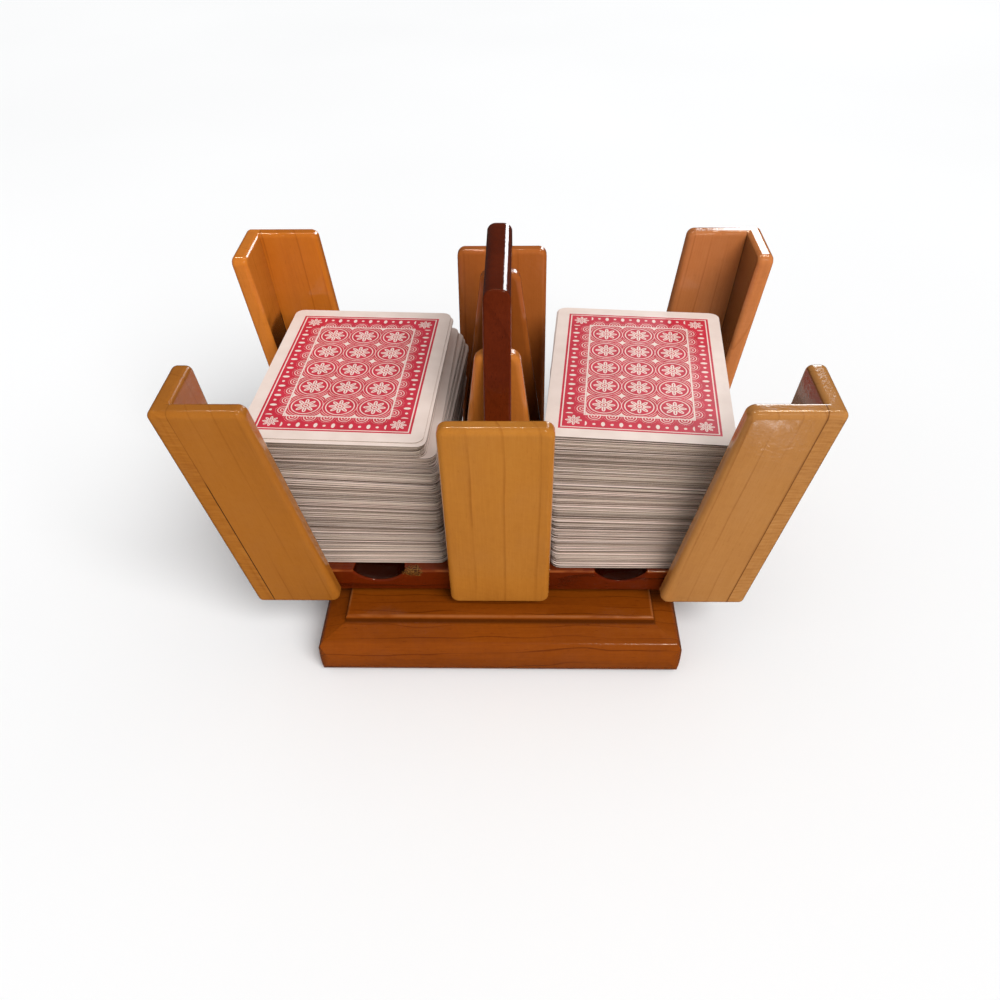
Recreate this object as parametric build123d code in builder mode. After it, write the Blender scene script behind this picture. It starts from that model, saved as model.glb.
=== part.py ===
from build123d import *
from math import cos, radians, sqrt, tan
import os

# A revolving tray for playing cards. A moulded square base carries a flat turning bearing, and on it
# turns a board with two bays, one deck-sized bay each side of a dark panel that is also the handle.
# Corner posts and middle plates lean outwards round the board and keep the piles of cards in, and two
# tapered ribs cross the handle panel. X runs through both bays, Y from front to rear, Z is up, and the
# origin lies on the table, in the middle under the base. Millimetres.

os.makedirs("parts", exist_ok=True)

# ---------------------------------------------------------------- driving dimensions
CARD_WIDTH = 63.0
CARD_LENGTH = 88.0
CARD_CORNER = 3.2
DECK_HEIGHT = 14.5  # 52 cards of about 0.28 mm

PAD_HEIGHT = 1.0
PAD_RADIUS = 6.0
BASE_WIDTH = 134.5
BASE_HEIGHT = 19.0
BASE_CORNER = 5.0
FIELD_WIDTH = 113.5  # raised flat field in the middle of the base
FIELD_STEP = 2.7
TURN_GAP = 2.4  # open slit between the base and the turning board

BOARD_HEIGHT = 11.0
BOARD_LENGTH = 170.6  # along X, on its upper face
BOARD_DEPTH = 93.0  # along Y, on its upper face
SIDE_LEAN = 8.2  # degrees that the side walls lean out
END_LEAN = 9.15  # degrees that the front and rear walls lean out

PLATE = 6.35  # quarter inch stock of all posts, plates and ribs
POST_RISE = 83.4  # corner posts above the board
MIDDLE_RISE = 76.5  # middle plates above the board
PLATE_DROP = 1.0  # all of them reach this far below the board
MIDDLE_WIDTH = 36.2
FACE_LEG_FOOT, FACE_LEG_HEAD = 31.2, 29.4  # width of a post's face plate, bottom and top
SIDE_LEG_FOOT, SIDE_LEG_HEAD = 15.6, 29.4  # width of a post's side plate, bottom and top
CORNER_ROUND = 3.2  # rounded corners of plates
EDGE_ROUND = 2.0  # round-over along edges
ARRIS_ROUND = 0.9  # the smaller one along the arrises of base, board and handle

HANDLE_THICKNESS = 9.0
HANDLE_RISE = 102.4  # top of the handle panel above the board
HANDLE_TOP_DEPTH = 51.6
SHOULDER_RISE = 33.0  # where the panel's sloping ends meet the middle plates
HANDLE_ROUND = 3.3  # along the top, for the hand
DADO_DEPTH = 3.0  # groove in the board that seats the handle panel

RIB_RISE = 82.5
RIB_FOOT, RIB_HEAD = 35.4, 14.6
RIB_REACH = 29.1  # middle of each rib from the centre
RIB_LAP = 41.0  # height above the board where rib and panel change over
RIB_CORNER_ROUND = 4.0

SCOOP_OFFSET = 44.5  # finger scoop's middle from the board's middle
SCOOP_WIDTH = 19.5
SCOOP_DEPTH = 6.0
SCOOP_TILT = 13.0  # degrees, so that a scoop runs out under the cards

BEARING_WIDTH = 76.0
BEARING_HEIGHT = 8.0
SHEET = 1.0
BALL_RADIUS = 2.0
BALL_COUNT = 16
RACE_RADIUS = 27.5
RACE_CLEARANCE = 0.06
SCREW_PITCH = 64.0
SCREW_RADIUS = 1.5
SCREW_HEAD_RADIUS = 3.0
PAN_HEAD = 1.1  # height, so that the tray's screws pass over the base's field
PLATE_SCREW_LENGTH = 6.5  # of the bearing's screws, in the wood
FRAME_SCREW_LENGTH = 25.0  # up through the board into the handle panel and the ribs
RIB_SCREW_OFFSETS = (-11.0, 11.0)
PANEL_SCREW_OFFSETS = (-15.0, 15.0)
COUNTERSINK_ANGLE = 82.0
ACCESS_RADIUS = 5.0  # hole in the base for a screwdriver

TOUCH = 0.01  # points nearer to a plane than this lie on it

# ---------------------------------------------------------------- levels and walls
base_foot = PAD_HEIGHT
base_top = base_foot + BASE_HEIGHT
board_foot = base_top + TURN_GAP
board_top = board_foot + BOARD_HEIGHT
plate_foot = board_foot - PLATE_DROP
post_top = board_top + POST_RISE
middle_top = board_top + MIDDLE_RISE
handle_top = board_top + HANDLE_RISE
lap_height = board_top + RIB_LAP
pocket_floor = board_foot - BEARING_HEIGHT

side_wall = PLATE / cos(radians(SIDE_LEAN))  # plate thickness measured level
end_wall = PLATE / cos(radians(END_LEAN))


def side_inner(z):
    """Half the space between the side walls at height z."""
    return BOARD_LENGTH / 2 + (z - board_top) * tan(radians(SIDE_LEAN))


def end_inner(z):
    """Half the space between the front and rear walls at height z."""
    return BOARD_DEPTH / 2 + (z - board_top) * tan(radians(END_LEAN))


def level_sections(limits, low, high):
    """The foot and head of a leaning piece, from its limits in X and Y at any height."""
    sections = []
    for z in (low, high):
        x_low, x_high, y_low, y_high = limits(z)
        with BuildSketch(Plane.XY.offset(z)) as section:
            with Locations(((x_low + x_high) / 2, (y_low + y_high) / 2)):
                Rectangle(x_high - x_low, y_high - y_low)
        sections.append(section.sketch)
    return sections


# ---------------------------------------------------------------- base
half_base = BASE_WIDTH / 2
half_field = FIELD_WIDTH / 2
slope_end = (half_base - 2.3, base_top - 5.3)
waist = (half_base, base_foot + 7.0)
foot = (half_base - 1.8, base_foot)

# Section across the base: raised field, small step, sloping bevel, rounded edge
with BuildSketch() as base_profile:
    with BuildLine():
        Polyline((0, base_foot), foot)
        TangentArc(waist, foot, tangent=(0, -1))
        TangentArc(waist, slope_end, tangent=(0, 1))
        Polyline(slope_end, (half_field, base_top - FIELD_STEP), (half_field, base_top), (0, base_top))
        mirror(about=Plane.YZ)
    make_face()
    fillet(base_profile.vertices().group_by(Axis.Y)[-1], ARRIS_ROUND)
    fillet(base_profile.vertices().filter_by(lambda v: abs(v.Y - slope_end[1]) < TOUCH), EDGE_ROUND)
    fillet(base_profile.vertices().group_by(Axis.Y)[0], ARRIS_ROUND)

with BuildPart() as base_board:
    for section_plane, mode in ((Plane.XZ, Mode.ADD), (Plane.YZ, Mode.INTERSECT)):
        with BuildSketch(section_plane):
            add(base_profile.sketch)
        extrude(amount=half_base, both=True, mode=mode)
    with BuildSketch():
        RectangleRounded(BASE_WIDTH, BASE_WIDTH, BASE_CORNER)
    extrude(amount=base_top, mode=Mode.INTERSECT)
    with BuildSketch(Plane.XY.offset(base_top)):
        RectangleRounded(BEARING_WIDTH + 2, BEARING_WIDTH + 2, 5)
    extrude(amount=pocket_floor - base_top, mode=Mode.SUBTRACT)
    with Locations((SCREW_PITCH / sqrt(2), 0, base_top)):
        Hole(ACCESS_RADIUS)
    with Locations(Plane.XY.offset(pocket_floor)):
        with GridLocations(SCREW_PITCH, SCREW_PITCH, 2, 2):
            Hole(SCREW_RADIUS, depth=PLATE_SCREW_LENGTH)

pad_pitch = BASE_WIDTH - 32
with BuildPart() as felt_pads:
    with GridLocations(pad_pitch, pad_pitch, 2, 2):
        Cylinder(PAD_RADIUS, PAD_HEIGHT, align=(Align.CENTER, Align.CENTER, Align.MIN))

# ---------------------------------------------------------------- turning bearing
ball_level = pocket_floor + BEARING_HEIGHT / 2
race_slit = 0.8  # between the two pressed rings
ring_inner, ring_outer = RACE_RADIUS - 4, RACE_RADIUS + 4


def bearing_plate(plate_z, ring_z, screw_side):
    """A square steel plate with a raised ring that is grooved for the balls."""
    low, high = sorted((plate_z, plate_z + SHEET * screw_side))
    with BuildPart() as plate:
        with BuildSketch(Plane.XY.offset(low)):
            RectangleRounded(BEARING_WIDTH, BEARING_WIDTH, 6)
            Circle(ring_inner, mode=Mode.SUBTRACT)
        extrude(amount=high - low)
        ring_low, ring_high = sorted((plate_z, ring_z))
        with BuildSketch(Plane.XY.offset(ring_low)):
            Circle(ring_outer)
            Circle(ring_inner, mode=Mode.SUBTRACT)
        extrude(amount=ring_high - ring_low)
        with BuildSketch(Plane.XZ):
            with Locations((RACE_RADIUS, ball_level)):
                Circle(BALL_RADIUS + RACE_CLEARANCE)
        revolve(axis=Axis.Z, mode=Mode.SUBTRACT)
        with GridLocations(SCREW_PITCH, SCREW_PITCH, 2, 2):
            Cylinder(SCREW_RADIUS + 0.2, 100, mode=Mode.SUBTRACT)
    return plate


bearing_lower_plate = bearing_plate(pocket_floor, ball_level - race_slit / 2, 1)
bearing_upper_plate = bearing_plate(board_foot, ball_level + race_slit / 2, -1)

with BuildPart() as bearing_balls:
    with Locations(Plane.XY.offset(ball_level)):
        with PolarLocations(RACE_RADIUS, BALL_COUNT):
            Sphere(BALL_RADIUS)


def pan_screws(seat_z, upward, length):
    """Four pan-head wood screws at the corners of a bearing plate, driven up or down."""
    way = 1 if upward else -1
    with BuildPart() as screws:
        with BuildSketch(Plane.XY.offset(seat_z)):
            with GridLocations(SCREW_PITCH, SCREW_PITCH, 2, 2):
                Circle(SCREW_HEAD_RADIUS)
        extrude(amount=-way * PAN_HEAD)
        fillet(screws.edges().group_by(Axis.Z)[0 if upward else -1], 0.7 * PAN_HEAD)
        with BuildSketch(Plane.XY.offset(seat_z)):
            with GridLocations(SCREW_PITCH, SCREW_PITCH, 2, 2):
                Circle(SCREW_RADIUS)
        extrude(amount=way * length)
    return screws


base_screws = pan_screws(pocket_floor + SHEET, False, SHEET + PLATE_SCREW_LENGTH)
tray_screws = pan_screws(board_foot - SHEET, True, SHEET + PLATE_SCREW_LENGTH)

# ---------------------------------------------------------------- tray board
scoop_radius = (SCOOP_WIDTH**2 / 4 + SCOOP_DEPTH**2) / (2 * SCOOP_DEPTH)
frame_screw_spots = [(0, y) for y in PANEL_SCREW_OFFSETS]
frame_screw_spots += [(x, y) for x in RIB_SCREW_OFFSETS for y in (-RIB_REACH, RIB_REACH)]


def board_limits(z):
    return -side_inner(z), side_inner(z), -end_inner(z), end_inner(z)


def is_board_rim(edge):
    """The board's upper edges and the round mouths of its scoops, but not the handle's groove."""
    middle = edge.center()
    on_face = abs(abs(middle.Y) - end_inner(middle.Z)) < TOUCH and middle.Z > board_foot + TOUCH
    on_end = abs(abs(middle.X) - side_inner(middle.Z)) < TOUCH and middle.Z > board_top - TOUCH
    return (on_face or on_end) and abs(middle.X) > HANDLE_THICKNESS / 2 + TOUCH


with BuildPart() as tray_board:
    loft(level_sections(board_limits, board_foot, board_top), ruled=True)
    with Locations((0, 0, board_top)):
        Box(HANDLE_THICKNESS, 2 * BOARD_DEPTH, 2 * DADO_DEPTH, mode=Mode.SUBTRACT)
    for side in (-1, 1):
        for end in (-1, 1):
            mouth = (side * SCOOP_OFFSET, end * BOARD_DEPTH / 2, board_top + scoop_radius - SCOOP_DEPTH)
            inwards = (0, -end * cos(radians(SCOOP_TILT)), tan(radians(SCOOP_TILT)))
            with BuildSketch(Plane(origin=mouth, z_dir=inwards)):
                Circle(scoop_radius)
            extrude(amount=BOARD_DEPTH / 2, mode=Mode.SUBTRACT)
            with BuildSketch(Plane(origin=mouth, z_dir=inwards)):
                Circle(scoop_radius)
            extrude(amount=-PLATE, mode=Mode.SUBTRACT)
    fillet(tray_board.edges().filter_by(is_board_rim), ARRIS_ROUND)
    with Locations(Plane.XY.offset(board_foot).rotated((180, 0, 0))):
        with Locations(*frame_screw_spots):
            CounterSinkHole(SCREW_RADIUS, SCREW_HEAD_RADIUS, counter_sink_angle=COUNTERSINK_ANGLE)
        with GridLocations(SCREW_PITCH, SCREW_PITCH, 2, 2):
            Hole(SCREW_RADIUS, depth=PLATE_SCREW_LENGTH)

# ---------------------------------------------------------------- corner posts
# Each post is a side plate and a face plate, glued in an L and rounded over together. One post is
# made at the rear right and mirrored to the other corners.


def face_leg_inner(z):
    share = (z - plate_foot) / (post_top - plate_foot)
    width = FACE_LEG_FOOT + share * (FACE_LEG_HEAD - FACE_LEG_FOOT)
    return side_inner(z) + side_wall - width


def side_leg_inner(z):
    share = (z - plate_foot) / (post_top - plate_foot)
    width = SIDE_LEG_FOOT + share * (SIDE_LEG_HEAD - SIDE_LEG_FOOT)
    return end_inner(z) + end_wall - width


def is_leg_end(edge):
    """The four short level edges across the plate at the free ends of a post's legs."""
    middle = edge.center()
    on_face_leg = abs(middle.X - face_leg_inner(middle.Z)) < TOUCH
    on_side_leg = abs(middle.Y - side_leg_inner(middle.Z)) < TOUCH
    return (on_face_leg or on_side_leg) and edge.bounding_box().size.Z < TOUCH


def is_post_rim(edge):
    """All edges of a post but the inside corner and the two glued ones at its foot."""
    middle = edge.center()
    past_side = middle.X - side_inner(middle.Z)
    past_end = middle.Y - end_inner(middle.Z)
    inside_corner = abs(past_side) < TOUCH and abs(past_end) < TOUCH
    on_board = max(past_side, past_end) < TOUCH and middle.Z < plate_foot + TOUCH
    return not inside_corner and not on_board


def side_leg_limits(z):
    return side_inner(z), side_inner(z) + side_wall, side_leg_inner(z), end_inner(z) + end_wall


def face_leg_limits(z):
    return face_leg_inner(z), side_inner(z) + side_wall, end_inner(z), end_inner(z) + end_wall


with BuildPart() as post:
    for limits in (side_leg_limits, face_leg_limits):
        loft(level_sections(limits, plate_foot, post_top), ruled=True)
    fillet(post.edges().filter_by(is_leg_end), CORNER_ROUND)
    fillet(post.edges().filter_by(is_post_rim), EDGE_ROUND)

lean = radians(SIDE_LEAN)
glue_line = Plane(
    origin=(side_inner(board_foot), 0, board_foot),
    z_dir=(cos(lean), 0, -cos(lean) * tan(lean)),
)
with BuildPart() as side_plate:
    add(post.part)
    split(bisect_by=glue_line, keep=Keep.TOP)
with BuildPart() as face_plate:
    add(post.part)
    split(bisect_by=glue_line, keep=Keep.BOTTOM)

# ---------------------------------------------------------------- middle plates
half_middle = MIDDLE_WIDTH / 2


def middle_limits(z):
    return -half_middle, half_middle, end_inner(z), end_inner(z) + end_wall


def is_middle_rim(edge):
    """All edges round a middle plate's two faces but the glued one at its foot."""
    middle = edge.center()
    on_board = middle.Z < plate_foot + TOUCH and middle.Y < end_inner(plate_foot) + TOUCH
    return edge.bounding_box().size.X > TOUCH or edge.length > 2 * PLATE and not on_board


with BuildPart() as middle_plate:
    loft(level_sections(middle_limits, plate_foot, middle_top), ruled=True)
    fillet(middle_plate.edges().filter_by(lambda e: e.length < 2 * PLATE), CORNER_ROUND)
    fillet(middle_plate.edges().filter_by(is_middle_rim), EDGE_ROUND)

# ---------------------------------------------------------------- handle panel and ribs
panel_foot = board_top - DADO_DEPTH
shoulder = board_top + SHOULDER_RISE
half_top = HANDLE_TOP_DEPTH / 2


def is_slope_rim(edge):
    """The edges round the handle panel's two sloping ends, down to the middle plates."""
    middle = edge.center()
    share = (middle.Z - shoulder) / (handle_top - shoulder)
    slope = end_inner(shoulder) + share * (half_top - end_inner(shoulder))
    return 0 < share and abs(abs(middle.Y) - slope) < TOUCH


with BuildPart() as handle_panel:
    with BuildSketch(Plane.YZ):
        with BuildLine():
            Polyline(
                (0, panel_foot),
                (end_inner(panel_foot), panel_foot),
                (end_inner(shoulder), shoulder),
                (half_top, handle_top),
                (0, handle_top),
            )
            mirror(about=Plane.YZ)
        make_face()
    extrude(amount=HANDLE_THICKNESS / 2, both=True)
    fillet(handle_panel.edges().filter_by(Axis.Y).group_by(Axis.Z)[-1], HANDLE_ROUND)
    fillet(handle_panel.edges().filter_by(is_slope_rim), ARRIS_ROUND)
    with Locations(*[(0, y, board_top) for y in PANEL_SCREW_OFFSETS]):
        Cylinder(SCREW_RADIUS, 2 * (FRAME_SCREW_LENGTH - BOARD_HEIGHT), mode=Mode.SUBTRACT)
    with Locations((0, RIB_REACH, panel_foot), (0, -RIB_REACH, panel_foot)):
        Box(
            HANDLE_THICKNESS,
            PLATE,
            lap_height - panel_foot,
            align=(Align.CENTER, Align.CENTER, Align.MIN),
            mode=Mode.SUBTRACT,
        )

rib_top = board_top + RIB_RISE
with BuildPart() as rear_rib:
    with BuildSketch(Plane.XZ.offset(-RIB_REACH)):
        with BuildLine():
            Polyline((0, board_top), (RIB_FOOT / 2, board_top), (RIB_HEAD / 2, rib_top), (0, rib_top))
            mirror(about=Plane.YZ)
        make_face()
    extrude(amount=PLATE / 2, both=True)
    fillet(rear_rib.edges().filter_by(Axis.Y).group_by(Axis.Z)[-1], RIB_CORNER_ROUND)
    rib_rim = rear_rib.edges().filter_by(
        lambda e: abs(e.center().Y - RIB_REACH) > PLATE / 2 - TOUCH and e.center().Z > board_top + TOUCH
    )
    fillet(rib_rim, EDGE_ROUND)
    with Locations((0, RIB_REACH, lap_height)):
        Box(
            HANDLE_THICKNESS,
            PLATE,
            RIB_RISE,
            align=(Align.CENTER, Align.CENTER, Align.MIN),
            mode=Mode.SUBTRACT,
        )
    with Locations(*[(x, RIB_REACH, board_top) for x in RIB_SCREW_OFFSETS]):
        Cylinder(SCREW_RADIUS, 2 * (FRAME_SCREW_LENGTH - BOARD_HEIGHT), mode=Mode.SUBTRACT)

with BuildPart() as panel_screws:
    with BuildSketch(Plane.XY.offset(board_foot)):
        with Locations(*frame_screw_spots):
            Circle(SCREW_RADIUS)
    extrude(amount=FRAME_SCREW_LENGTH)
    with Locations(Plane.XY.offset(board_foot)):
        with Locations(*frame_screw_spots):
            Cone(
                SCREW_HEAD_RADIUS,
                SCREW_RADIUS,
                (SCREW_HEAD_RADIUS - SCREW_RADIUS) / tan(radians(COUNTERSINK_ANGLE / 2)),
                align=(Align.CENTER, Align.CENTER, Align.MIN),
            )

# ---------------------------------------------------------------- playing cards
# Two piles of four decks. The lowest deck of each stands square on the board and those above are
# shifted and turned a little, the way loosely stacked cards end up. X, Y and turn of each deck, foot first.
PILES = {
    "left": ((-51.8, 2.0, 0.0), (-50.6, 1.6, -2.5), (-49.8, 1.0, -4.6), (-53.9, 0.9, -3.0)),
    "right": ((50.3, -0.2, 0.0), (50.3, -0.7, -1.7), (50.3, -1.1, -3.3), (50.3, -1.6, -5.0)),
}


def deck_of_cards(pile, number):
    """One deck of a pile, counted from the foot."""
    x, y, turn = PILES[pile][number - 1]
    with BuildPart() as deck:
        with BuildSketch(Plane.XY.offset(board_top + (number - 1) * DECK_HEIGHT)):
            with Locations(Location((x, y, 0), (0, 0, turn))):
                RectangleRounded(CARD_WIDTH, CARD_LENGTH, CARD_CORNER)
        extrude(amount=DECK_HEIGHT)
    return deck


# ---------------------------------------------------------------- writing the pieces
def mirrored(source, planes):
    """A piece mirrored to another corner or end of the tray."""
    with BuildPart() as copy:
        shape = source.part
        for plane in planes:
            shape = mirror(shape, about=plane, mode=Mode.PRIVATE)
        add(shape)
    return copy


pieces = {
    "base_board": base_board,
    "felt_pads": felt_pads,
    "bearing_lower_plate": bearing_lower_plate,
    "bearing_upper_plate": bearing_upper_plate,
    "bearing_balls": bearing_balls,
    "base_screws": base_screws,
    "tray_screws": tray_screws,
    "tray_board": tray_board,
    "panel_screws": panel_screws,
    "handle_panel": handle_panel,
    "rear_rib": rear_rib,
    "front_rib": mirrored(rear_rib, [Plane.XZ]),
    "rear_middle_plate": middle_plate,
    "front_middle_plate": mirrored(middle_plate, [Plane.XZ]),
}
CORNERS = {
    "rear_right": [],
    "rear_left": [Plane.YZ],
    "front_right": [Plane.XZ],
    "front_left": [Plane.YZ, Plane.XZ],
}
for corner, planes in CORNERS.items():
    pieces[f"{corner}_side_plate"] = mirrored(side_plate, planes)
    pieces[f"{corner}_face_plate"] = mirrored(face_plate, planes)
for pile, spots in PILES.items():
    for number in range(1, len(spots) + 1):
        pieces[f"{pile}_deck_{number}"] = deck_of_cards(pile, number)

for name, piece in pieces.items():
    piece.part.label = name
    export_step(piece.part, f"parts/{name}.step")
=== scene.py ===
# %% [markdown]
# # A revolving tray for playing cards
#
# The object is an open tray of lacquered wood. A dark board carries two piles of cards, pale
# posts lean outwards round it, and a dark panel in the middle is the handle. The tray turns on a
# moulded square base. All rigid wooden pieces already have their true shape in the construction
# model, so this lesson gives them their finish, and models what the construction only stands in
# for: more than four hundred thin cards. Blender's lengths are in metres. The shaders count in
# millimetres, and MM turns one into the other.

# %% Load the construction
import math
import random

import bpy
from mathutils import Matrix, Vector


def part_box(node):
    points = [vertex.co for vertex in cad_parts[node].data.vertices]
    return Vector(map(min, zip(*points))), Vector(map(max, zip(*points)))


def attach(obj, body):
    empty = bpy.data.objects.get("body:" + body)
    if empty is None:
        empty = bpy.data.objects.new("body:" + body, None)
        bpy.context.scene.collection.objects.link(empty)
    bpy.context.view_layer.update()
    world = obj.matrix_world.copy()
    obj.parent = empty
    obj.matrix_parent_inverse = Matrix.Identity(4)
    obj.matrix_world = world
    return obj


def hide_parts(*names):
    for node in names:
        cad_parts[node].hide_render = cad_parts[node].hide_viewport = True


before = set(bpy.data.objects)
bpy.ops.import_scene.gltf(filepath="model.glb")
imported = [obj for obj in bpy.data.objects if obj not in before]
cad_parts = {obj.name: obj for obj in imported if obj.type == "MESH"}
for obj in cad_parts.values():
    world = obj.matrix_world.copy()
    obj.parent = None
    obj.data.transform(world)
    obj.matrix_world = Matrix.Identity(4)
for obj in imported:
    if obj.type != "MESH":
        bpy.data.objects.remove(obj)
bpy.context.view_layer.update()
MM = 0.001


# %% [markdown]
# ## The camera
#
# The viewer looks down on the tray at about forty degrees. Instead of turning a camera by hand
# until it looks right, it is placed by numbers: where it stands, how far it looks down, aside, and
# how much it is tilted. Three directions worked out from these angles are the columns of its
# matrix.

# %% Camera
FRAME_PIXELS = 1000.0
FOCAL_PIXELS = 912.9
SENSOR_WIDTH = 36.0
CAMERA_PLACE = Vector((7.3, -286.4, 268.8)) * MM
LOOK_DOWN, LOOK_ASIDE, TILT = (math.radians(angle) for angle in (39.99, -1.60, -0.904))
NEAREST, FARTHEST = 0.01, 20.0


def make_camera():
    camera = bpy.data.objects.new("camera", bpy.data.cameras.new("camera"))
    bpy.context.collection.objects.link(camera)
    camera.data.sensor_width = SENSOR_WIDTH
    camera.data.lens = SENSOR_WIDTH * FOCAL_PIXELS / FRAME_PIXELS
    camera.data.clip_start, camera.data.clip_end = NEAREST, FARTHEST
    forward = Vector((
        math.sin(LOOK_ASIDE) * math.cos(LOOK_DOWN),
        math.cos(LOOK_ASIDE) * math.cos(LOOK_DOWN),
        -math.sin(LOOK_DOWN),
    ))
    level = Vector((math.cos(LOOK_ASIDE), -math.sin(LOOK_ASIDE), 0.0))
    upward = level.cross(forward)
    right = level * math.cos(TILT) + upward * math.sin(TILT)
    up = upward * math.cos(TILT) - level * math.sin(TILT)
    turn = Matrix((right, up, -forward)).transposed().to_4x4()
    camera.matrix_world = Matrix.Translation(CAMERA_PLACE) @ turn
    bpy.context.scene.camera = camera
    return camera


camera = make_camera()
print("lens", round(camera.data.lens, 2), "mm")

# %% [markdown]
# ## Writing shader nodes as sums
#
# Patterns such as wood grain or a printed card back are sums and products of simple fields.
# Placing every Math node by hand hides that. A small class does it instead: adding or multiplying
# two fields places a Math node and returns its output as a new field, so a pattern reads like a
# formula.

# %% Fields
class Field:
    """A number that changes over a surface, as the output of a shader node."""

    def __init__(self, tree, socket):
        self.tree = tree
        self.socket = socket

    def math(self, operation, *others):
        node = self.tree.nodes.new("ShaderNodeMath")
        node.operation = operation
        for entry, value in zip(node.inputs, (self, *others)):
            plug(self.tree, entry, value)
        return Field(self.tree, node.outputs["Value"])

    def __add__(self, other):
        return self.math("ADD", other)

    def __sub__(self, other):
        return self.math("SUBTRACT", other)

    def __mul__(self, other):
        return self.math("MULTIPLY", other)

    def __truediv__(self, other):
        return self.math("DIVIDE", other)

    def size(self):
        return self.math("ABSOLUTE")

    def over(self, limit):
        """1 where the field is greater than a limit, else 0."""
        return self.math("GREATER_THAN", limit)

    def under(self, limit):
        """1 where the field is less than a limit, else 0."""
        return self.math("LESS_THAN", limit)

    def rise(self, low, high, start=0.0, end=1.0):
        """start where the field is under low, end where it is over high, a soft slope between."""
        node = self.tree.nodes.new("ShaderNodeMapRange")
        node.interpolation_type = "SMOOTHSTEP"
        for entry, value in zip(("Value", "From Min", "From Max", "To Min", "To Max"),
                                (self, low, high, start, end)):
            plug(self.tree, node.inputs[entry], value)
        return Field(self.tree, node.outputs["Result"])

    def flip(self):
        """0 for 1 and 1 for 0."""
        return self * -1.0 + 1.0


def plug(tree, entry, value):
    """Links a field or an output to an input, or sets the input to a plain value."""
    if isinstance(value, Field):
        value = value.socket
    if isinstance(value, bpy.types.NodeSocket):
        tree.links.new(value, entry)
    else:
        entry.default_value = value


def add_node(tree, kind, **values):
    """Adds a node. A value's name is the input's, with an underscore for each space."""
    node = tree.nodes.new(kind)
    for name, value in values.items():
        plug(tree, node.inputs[name.replace("_", " ")], value)
    return node


# %% Fields from coordinates
def split_vector(tree, socket):
    """The three coordinates of a vector, from metres to millimetres."""
    parts = add_node(tree, "ShaderNodeSeparateXYZ", Vector=socket)
    return [Field(tree, output) / MM for output in parts.outputs]


def noise(tree, place, sizes, detail=2.0):
    """Soft random blotches from 0 to 1, with their size in mm along each of three fields."""
    x, y, z = (part / size for part, size in zip(place, sizes))
    spot = add_node(tree, "ShaderNodeCombineXYZ", X=x, Y=y, Z=z)
    blotches = add_node(tree, "ShaderNodeTexNoise", Vector=spot.outputs[0],
                        Scale=1.0, Detail=detail)
    return Field(tree, blotches.outputs[0])


def even(size):
    """The same size in all three directions."""
    return (size, size, size)


# %% Colours from fields
def ramp(tree, amount, *stops):
    """A colour ramp. Each stop is a place from 0 to 1 and a colour."""
    node = add_node(tree, "ShaderNodeValToRGB", Fac=amount)
    elements = node.color_ramp.elements
    while len(elements) < len(stops):
        elements.new(1.0)
    for element, (place, colour) in zip(elements, stops):
        element.position = place
        element.color = (*colour, 1.0)
    return node.outputs["Color"]


def blend_colours(tree, amount, low, high):
    """Mixes two colours or colour outputs by an amount from 0 to 1."""
    node = tree.nodes.new("ShaderNodeMix")
    node.data_type = "RGBA"
    plug(tree, node.inputs["Factor"], amount)
    entries = [entry for entry in node.inputs if entry.type == "RGBA"]
    for entry, colour in zip(entries, (low, high)):
        is_output = isinstance(colour, bpy.types.NodeSocket)
        plug(tree, entry, colour if is_output else (*colour, 1.0))
    return next(output for output in node.outputs if output.type == "RGBA")


# %% Groups and materials
def empty_group(name, inputs, outputs):
    """A new node group with number sockets: its tree, a dict of its inputs, and its end node."""
    tree = bpy.data.node_groups.new(name, "ShaderNodeTree")
    for label in inputs:
        tree.interface.new_socket(label, in_out="INPUT", socket_type="NodeSocketFloat")
    for label in outputs:
        tree.interface.new_socket(label, in_out="OUTPUT", socket_type="NodeSocketFloat")
    start = tree.nodes.new("NodeGroupInput")
    end = tree.nodes.new("NodeGroupOutput")
    return tree, {label: Field(tree, start.outputs[label]) for label in inputs}, end


def use_group(tree, group, **values):
    """Places a node group in a tree and returns its outputs as fields."""
    node = tree.nodes.new("ShaderNodeGroup")
    node.node_tree = group
    for name, value in values.items():
        plug(tree, node.inputs[name.replace("_", " ")], value)
    return {output.name: Field(tree, output) for output in node.outputs}


def new_material(name):
    """A new material, its tree and its shader."""
    material = bpy.data.materials.new(name)
    material.use_nodes = True
    tree = material.node_tree
    return material, tree, tree.nodes["Principled BSDF"]


def object_place(tree):
    """The x, y and z fields of a place on the object, in mm."""
    return split_vector(tree, tree.nodes.new("ShaderNodeTexCoord").outputs["Object"])


# %% [markdown]
# ## Wood
#
# All the wood shares one pattern, at different scales. A board is cut from rings of yearly growth,
# so its face shows bands along the grain, each a little different in tone, with a thin dark line
# of late growth between them. On top come fine fibres, short pores, large clouds of lighter and
# darker wood, and in some boards a curl across the grain. The group works in solid wood, so edges
# and ends show what a real cut would show.

# %% Sizes of the figure, in mm across, through and along the grain
BEND_SIZE, RIPPLE_SIZE = (21.0, 21.0, 95.0), (9.0, 9.0, 24.0)
MOTTLE_SIZE, FIBRE_SIZE = (1.9, 1.9, 3.4), (0.5, 0.5, 17.0)
PORE_SIZE, CLOUD_SIZE = (0.28, 0.28, 3.2), (17.0, 17.0, 52.0)
FADING_SIZE, BAND_SIZE = (1.0, 30.0, 46.0), (1.0, 90.0, 130.0)   # the first counts in years
CURL_SIZE = (24.0, 7.0, 1.0)
CURL_PITCH = 0.95           # from one ripple of the curl to the next
CURL_SLANT, CURL_BEND = 0.35, 5.0
RING_SLANT = 0.45           # how far the rings lie over, sideways for each mm of depth
LINE_STARTS, LINE_FULL = 0.88, 0.98   # where in a year's growth its dark line is
LINE_END = 0.3              # how dark the line still is where the next year starts
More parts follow.
